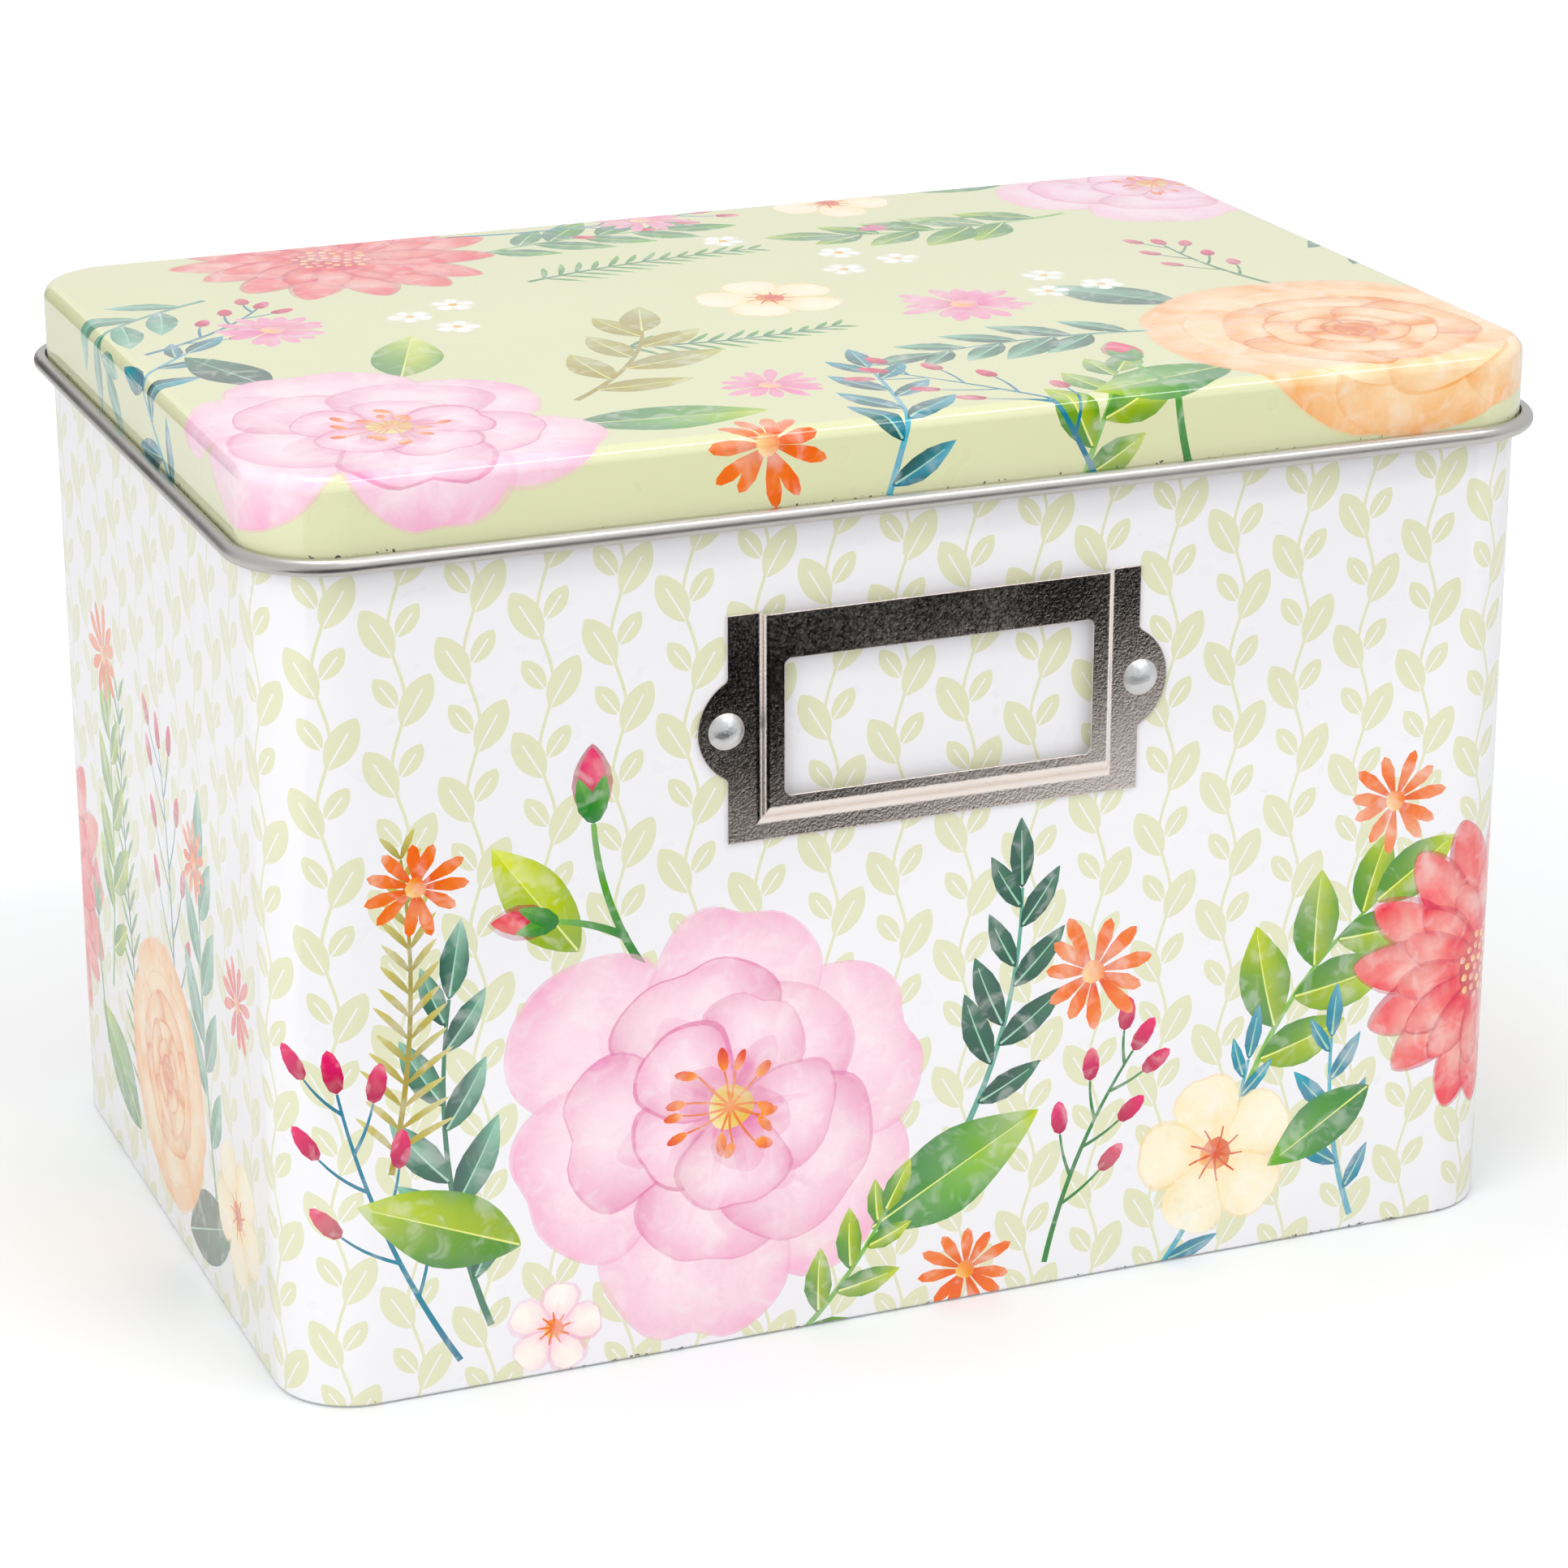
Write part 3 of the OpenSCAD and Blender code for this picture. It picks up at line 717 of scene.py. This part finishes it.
def wall_lines():
    """Edges the wall's print needs where the sheet bends, and its border."""
    lines = []
    heights = [print_foot, 0.02, 0.15, 0.3, foot_bend]
    corners = []
    for start in (half_w, half_w + quarter + 2 * half_d):
        corners += [start + quarter * k / corner_cuts for k in range(corner_cuts + 1)]
    for s in corners:
        for sign in (1, -1):
            lines.append([(sign * s, print_foot), (sign * s, print_top)])
    for z in heights + [print_top]:
        lines.append([(-half_round, z), (half_round, z)])
    seam = [edge + step for edge in (seam_near, seam_far) for step in (-seam_step, seam_step)]
    for s in [-half_round, half_round] + [edge - half_round for edge in seam]:
        lines.append([(s, print_foot), (s, print_top)])
    return lines


def wall_chart(points, middles):
    """Bake map of the wall: its run cut in two rows."""
    cut = half_w + quarter
    run = 2 * half_round
    left = cut - half_round
    margin, row_step = 1.0, 118.0
    shift = np.where(middles[:, 0] < left, run, 0.0)
    s = points[:, 0] + shift
    upper = (middles[:, 0] + shift) > cut
    u = np.where(upper, s - cut, s - left)
    v = points[:, 1] + margin + np.where(upper, row_step, 0.0)
    return np.stack([u + margin, v], axis=1) / (half_round + 2 * margin)


body_print = build_print(
    "body_print",
    body_sheet,
    wall_lines(),
    low=np.array([-half_round, print_foot]),
    high=np.array([half_round, print_top]),
    grid=2.3,
    place=lambda flat: wall_place(flat[:, 0], flat[:, 1]),
    keep=lambda at: (np.abs(at[:, 0]) < half_round) & (at[:, 1] > print_foot) & (at[:, 1] < print_top),
    bake=wall_chart,
    ground=(246, 246, 250),
)


def wash_group():
    """Node group: pigment that pools and thins like watercolour under varnish."""
    group, start, end = new_group("watercolour wash", {"Paint": "Color", "Sheet": "Vector"}, {"Color": "Color"})
    sheet = start["Sheet"]
    pools = noise(group, sheet, 0.14, 3.0, Roughness=0.55, Distortion=0.4)
    grain = noise(group, sheet, 1.5, 3.0, Roughness=0.6)
    change = {
        "Hue": spread(group, pools, 0.3, 0.7, 0.49, 0.51),
        "Saturation": spread(group, pools, 0.3, 0.7, 1.28, 0.78),
        "Value": spread(group, grain, 0.3, 0.7, 0.98, 1.02),
        "Fac": 1.0,
        "Color": start["Paint"],
    }
    washed = node(group, "ShaderNodeHueSaturation", change).outputs[0]
    brush = noise(group, sheet, 0.3, 2.0, Roughness=0.5, Distortion=0.8)
    thin = soft_step(group, brush, 0.48, 0.7, 0.0, 0.24)
    group.links.new(blend(group, thin, washed, (0.96, 0.94, 0.93)), end["Color"])
    return group


def dark_specks_group():
    """Node group: dark specks in patches, denser towards a piece's lower edge."""
    group, start, end = new_group("rubbed edge", {"Below": "Float"}, {"Mask": "Float"})
    do = maths(group)
    where = node(group, "ShaderNodeTexCoord").outputs["Object"]
    height = node(group, "ShaderNodeSeparateXYZ", {0: where}).outputs["Z"]
    depth = do("SUBTRACT", start["Below"], height)
    low = spread(group, depth, 0.0, 0.0008, 0.0, 0.13)
    patches = do("MULTIPLY_ADD", noise(group, where, 60.0, 1.0), 0.35, noise(group, where, 1500.0, 2.0))
    specks = soft_step(group, do("ADD", patches, low), 0.87, 0.91, 0.0, 1.0)
    group.links.new(do("MULTIPLY", specks, do("GREATER_THAN", depth, 0.0)), end["Mask"])
    return group


def varnish_group():
    """Node group: slow waves of the sheet and the faint peel of its varnish."""
    group, start, end = new_group("varnish", {"Sheet": "Vector"}, {"Height": "Float", "Roughness": "Float"})
    sway = noise(group, start["Sheet"], 0.03, 0.0)
    peel = noise(group, start["Sheet"], 0.2, 1.0)
    group.links.new(maths(group)("MULTIPLY_ADD", peel, 0.02, sway), end["Height"])
    group.links.new(spread(group, peel, 0.3, 0.7, 0.27, 0.33), end["Roughness"])
    return group


wash, dark_specks, varnish = wash_group(), dark_specks_group(), varnish_group()


def printed(name, ground_maker, specks_below):
    """Varnished print on white-coated tin, with dark specks below one height."""
    material, tree, shader = fresh(name)
    run = node(tree, "ShaderNodeAttribute", attribute_name="sheet")
    paint = node(tree, "ShaderNodeAttribute", attribute_name="paint")
    flat_paint = {"Paint": paint.outputs["Color"], "Sheet": run.outputs["Vector"]}
    pooled = node(tree, "ShaderNodeGroup", flat_paint, node_tree=wash)
    colour = blend(tree, paint.outputs["Alpha"], ground_maker(tree, run), pooled.outputs["Color"])
    specks = node(tree, "ShaderNodeGroup", node_tree=dark_specks)
    specks.inputs["Below"].default_value = specks_below
    # Dark brown specks, denser towards the piece's lower edge.
    colour = blend(tree, specks.outputs["Mask"], colour, (0.11, 0.09, 0.075))
    tree.links.new(colour, shader.inputs["Base Color"])
    coat = node(tree, "ShaderNodeGroup", {"Sheet": run.outputs["Vector"]}, node_tree=varnish)
    bump = node(tree, "ShaderNodeBump", {"Height": coat.outputs["Height"], "Strength": 1.0, "Distance": 0.00025})
    tree.links.new(coat.outputs["Roughness"], shader.inputs["Roughness"])
    tree.links.new(bump.outputs[0], shader.inputs["Normal"])
    shader.inputs["Specular IOR Level"].default_value = 0.3
    shader.inputs["Coat Weight"].default_value = 1.0
    shader.inputs["Coat Roughness"].default_value = 0.04
    return material


def vine_ground(tree, run):
    """White with a pale trailing vine in upright rows."""
    do = maths(tree)
    pitch, period = 9.0, 17.0
    place = node(tree, "ShaderNodeSeparateXYZ", {0: run.outputs["Vector"]})
    row = do("DIVIDE", place.outputs["X"], pitch)
    number = do("FLOOR", row)
    x = do("MULTIPLY", do("SUBTRACT", do("SUBTRACT", row, number), 0.5), pitch)
    odd = do("FLOORED_MODULO", number, 2.0)
    up = do("MULTIPLY_ADD", odd, 0.25, do("DIVIDE", place.outputs["Y"], period))
    y = do("MULTIPLY", do("FRACT", up), period)
    swing = do("MULTIPLY", do("SINE", do("MULTIPLY", y, 2 * math.pi / period)), 0.9)
    stalk = do("LESS_THAN", do("ABSOLUTE", do("SUBTRACT", x, swing)), 0.21)
    half_up = do("MULTIPLY", up, 2.0)
    side = do("MULTIPLY_ADD", do("FLOORED_MODULO", do("FLOOR", half_up), 2.0), -2.0, 1.0)
    yy = do("MULTIPLY", do("FRACT", half_up), period / 2)
    xx = do("MULTIPLY", x, side)
    masks = []
    for foot_x, foot_y, angle, long, wide in ((0.45, 1.0, 1.03, 7.0, 3.7), (-0.1, 3.4, 2.2, 4.6, 2.5)):
        dx, dy = do("SUBTRACT", xx, foot_x), do("SUBTRACT", yy, foot_y)
        a = do("ADD", do("MULTIPLY", dx, math.cos(angle)), do("MULTIPLY", dy, math.sin(angle)))
        b = do("ADD", do("MULTIPLY", dx, -math.sin(angle)), do("MULTIPLY", dy, math.cos(angle)))
        t = do("MULTIPLY", a, 1 / long)
        hump = do("MULTIPLY", do("MULTIPLY", t, do("SUBTRACT", 1.0, t)), 4.0)
        edge = do("MULTIPLY", do("POWER", do("MAXIMUM", hump, 0.0), 0.75), wide / 2)
        blade_mask = do("LESS_THAN", do("ABSOLUTE", b), edge)
        rib = do("MULTIPLY", do("LESS_THAN", do("ABSOLUTE", b), 0.11), do("LESS_THAN", t, 0.72))
        masks.append(do("MULTIPLY", blade_mask, do("SUBTRACT", 1.0, rib)))
    vine = do("MAXIMUM", stalk, do("MAXIMUM", masks[0], masks[1]))
    return blend(tree, vine, (0.88, 0.88, 0.91), (0.755, 0.765, 0.53))


body_print.data.materials.append(printed("printed body", vine_ground, 0.0005))
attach(body_print, "box")


# ------------------------------------------------------------ Base plate
# Bare tin plate hung in the foot hook, with a raised floor panel. The mill
# leaves fine lines along its length.
dress("base_plate", metal("floor tin", (0.70, 0.695, 0.68), 300.0, 0.26, 0.42, (0.15, 1, 1), 0.000008))


# ------------------------------------------------------------------- Lid
# One drawn tinplate lid, slipped over the body, on whose rim it lies. The
# print runs over the top bend and down the skirt; the curl along the lower
# edge and the inside are bare tin.
# Painted shade, in part: the lid's tin is given a darker grey than the body's bare tin. This stands in for the darker
# surroundings that its curl mirrors.
dress("lid", metal("drawn tin", (0.60, 0.59, 0.57), 500.0, 0.3, 0.46, (1, 1, 1), 0.000012))

lid_out = 0.75
lid_top, lid_bend = 116.6, 1.8
skirt_foot = 106.75
lid_corner = corner_r + lid_out - lid_bend
lid_x, lid_y = body_w / 2 + lid_out - lid_bend, body_d / 2 + lid_out - lid_bend
bend_run = lid_bend * math.pi / 2
lid_run = bend_run + lid_top - lid_bend - skirt_foot


def lid_away(q):
    """How far flat points lie outside the lid's level top, and in which direction."""
    far = np.abs(q) - [lid_x - lid_corner, lid_y - lid_corner]
    corner = np.maximum(far, 0)
    length = np.hypot(corner[:, 0], corner[:, 1])
    away = length - lid_corner
    way = np.where(q < 0, -1.0, 1.0) * corner / np.maximum(length, 1e-9)[:, None]
    return away, way


def lid_place(q):
    """Point and outward direction on the lid, from the place on the flat sheet."""
    away, way = lid_away(q)
    out = np.maximum(away, 0)
    angle = np.clip(out / lid_bend, 0, math.pi / 2)
    down = np.maximum(out - bend_run, 0)
    base = q - way * out[:, None]
    shift = (lid_bend + skin) * np.sin(angle)
    xy = base + way * shift[:, None]
    z = lid_top - lid_bend + (lid_bend + skin) * np.cos(angle) - down
    normal = np.column_stack([way * np.sin(angle)[:, None], np.cos(angle)])
    return np.column_stack([xy, z]), normal


def lid_ring(away, steps=18):
    """Flat outline of the lid's print at one distance beyond the level top."""
    ring = []
    for quadrant in range(4):
        sx, sy = ((1, -1), (1, 1), (-1, 1), (-1, -1))[quadrant]
        for k in range(steps + 1):
            angle = math.pi / 2 * (k / steps + quadrant - 1)
            r = lid_corner + away
            x, y = sx * (lid_x - lid_corner), sy * (lid_y - lid_corner)
            ring.append((x + r * math.cos(angle), y + r * math.sin(angle)))
    return ring


lid_lines = []
bend_cuts = 8
lid_steps = [bend_run * k / bend_cuts for k in range(bend_cuts + 1)] + [lid_run]
for away in lid_steps:
    ring = lid_ring(away)
    lid_lines.append(ring + [ring[0]])
inner_ring, outer_ring = lid_ring(0.0), lid_ring(lid_run)
for a, b in zip(inner_ring, outer_ring):
    lid_lines.append([a, b])

lid_sheet = Sheet(11)
pink, pink_dark = (240, 160, 190), (226, 110, 150)
needles(lid_sheet, (-24, 24), 0.35, 34, -0.35, 12, 7, [grass_deep, grass], grass_deep)
needles(lid_sheet, (-26, -12), -0.25, 30, 0.5, 11, 6.5, [pine, grass], pine)
olive = (196, 200, 120)
leafy(lid_sheet, (-38, -34), 0.75, 34, 0.5, 3, 15, [straw_deep, olive], straw_deep, lime_pale, straw_deep, 0.8, 0.42)
leafy(lid_sheet, (-66, 30), 3.6, 26, 0.5, 3, 12, [mint_deep, mint], pine, mint, mint_deep, 0.8, 0.36)
leafy(lid_sheet, (-28, 40), 0.4, 32, -0.5, 4, 12, [grass_deep, grass], pine, grass_pale, grass, 0.8, 0.42)
leafy(lid_sheet, (58, 34), 3.4, 34, -0.5, 4, 13, [grass_deep, lime], grass_deep, lime_pale, grass, 0.8, 0.46)
leafy(lid_sheet, (96, 24), 4.2, 34, 0.5, 3, 12, [pine_deep, pine], pine_deep, mint, mint_deep, 0.8, 0.4)
leafy(lid_sheet, (42, -30), 2.9, 32, 0.5, 4, 12, [pine, mint], pine_deep, mint, mint_deep, 0.8, 0.4)
leafy(lid_sheet, (-8, -68), 1.25, 36, 0.2, 4, 11, [sea_deep, sea], pine_deep, mint, sea, 0.8, 0.34)
leafy(lid_sheet, (18, -68), 1.35, 24, -0.4, 3, 12, [lime_deep, lime], grass_deep, lime_pale, grass, 0.8, 0.46)
leafy(lid_sheet, (-96, -22), 1.0, 34, -0.2, 3, 11, [sea_deep, sea], pine_deep, mint, sea, 0.8, 0.34)
berries(lid_sheet, (22, -68), 2.0, 38, 0.3, 7, cherry, cherry_deep, sea_deep, 4, 2.2)
berries(lid_sheet, (-26, 52), -0.15, 36, 0.4, 7, coral_mid, cherry_deep, sea_deep, 3.6, 2)
berries(lid_sheet, (66, -14), 1.9, 26, -0.4, 6, cherry, cherry_deep, grass_deep, 3.6, 2)
berries(lid_sheet, (-80, 6), 0.5, 26, 0.5, 6, cherry, cherry_deep, sea_deep, 3.6, 2)
leaf(lid_sheet, (-42, -44), -0.1, 24, 10, [grass_deep, grass, lime], grass_deep, lime_pale)
leaf(lid_sheet, (-54, -16), 1.2, 20, 9, [lime_deep, lime, lime_pale], grass_deep, lime_pale)
leaf(lid_sheet, (-70, -14), 1.9, 18, 8, [pine_deep, pine], pine_deep, mint)
leaf(lid_sheet, (50, -18), 2.3, 20, 9, [pine, mint], pine_deep, mint)
leaf(lid_sheet, (42, -48), 3.4, 22, 10, [grass_deep, grass, lime], grass_deep, lime_pale)
leaf(lid_sheet, (-62, 60), 3.3, 18, 8, [lime_deep, lime], grass_deep, lime_pale)
leaf(lid_sheet, (58, 54), 2.9, 20, 9, [grass_deep, grass, lime], grass_deep, lime_pale)
wild_rose(lid_sheet, (-64, -38), 28, 0.5, pink_pale, pink_mid, pink_deep)
round_rose(lid_sheet, (64, -38), 26, 0.4, peach_pale, peach_mid, peach_deep)
gerbera(lid_sheet, (-44, 46), 22, 0.1, coral_pale, coral_mid, coral_deep)
wild_rose(lid_sheet, (76, 46), 23, 0.2, pink_pale, pink_mid, pink_deep)
bud(lid_sheet, (34, -68), 1.9, 26, -0.5, 10, cherry, cherry_deep, grass, grass_deep)
bud(lid_sheet, (48, 36), 2.9, 12, 0.4, 9, pink_deep, cherry_deep, grass, grass_deep)
small_bloom(lid_sheet, (2, 4), 10, 0.4, cream, cream_mid, [(250, 190, 90), orange_deep])
small_bloom(lid_sheet, (30, 52), 9, 0.9, cream, cream_mid, [(250, 190, 90), orange_deep])
for x, y in ((20, 24), (26, 18), (17, 15), (40, 2), (45, -5), (37, -6), (-44, 12), (-37, 16), (-40, 5), (8, 36)):
    small_bloom(lid_sheet, (x, y), 3.2, x * 0.1, (255, 255, 255), (240, 244, 232), [(250, 214, 110), (236, 160, 60)])
aster(lid_sheet, (24, -8), 9, 0.1, pink, pink_dark, 15)
aster(lid_sheet, (-62, 12), 8, 0.3, pink, pink_dark, 15)
aster(lid_sheet, (2, 52), 7, 0.5, pink, pink_dark, 13)
aster(lid_sheet, (-14, -36), 7, 0.2, pink, pink_dark, 13)
aster(lid_sheet, (-22, -56), 7.5, 0.2, orange, orange_deep)


def sage_ground(tree, run):
    """Plain pale sage, a little uneven."""
    cloud = noise(tree, run.outputs["Vector"], 0.03, 2.0)
    return blend(tree, cloud, (0.71, 0.725, 0.43), (0.745, 0.76, 0.485))


def lid_chart(points, middles):
    """Bake map of the lid: its flat sheet as it is."""
    margin = 1
    return (points + [lid_x + lid_run + margin, lid_y + lid_run + margin]) / (2 * (lid_x + lid_run) + 2 * margin)


lid_print = build_print(
    "lid_print",
    lid_sheet,
    lid_lines,
    low=np.array([-lid_x - lid_run, -lid_y - lid_run]),
    high=np.array([lid_x + lid_run, lid_y + lid_run]),
    grid=2.2,
    place=lid_place,
    keep=lambda at: lid_away(at)[0] < lid_run + 0.02,
    bake=lid_chart,
    ground=(226, 232, 196),
)
lid_print.data.materials.append(printed("printed lid", sage_ground, 0.1077))
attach(lid_print, "lid")


# ---------------------------------------------------------- Label holder
# Stamped steel frame, riveted to the front wall. Its bright nickel plate
# keeps the fine grain of the steel, and its sheared edges catch the light.
dress("label_holder", metal("bright nickel", (0.90, 0.82, 0.77), 3000.0, 0.04, 0.28, (1, 1, 1), 0.000026, 0.00018))


# ---------------------------------------------------------------- Rivets
# Two domed aluminium rivets, their heads faintly hammered. They hold the
# frame to the front wall.
rivet_metal = metal("rivet aluminium", (0.76, 0.77, 0.78), 700.0, 0.3, 0.5, (1, 1, 1), 0.00018)
dress("rivet_left", rivet_metal)
dress("rivet_right", rivet_metal)
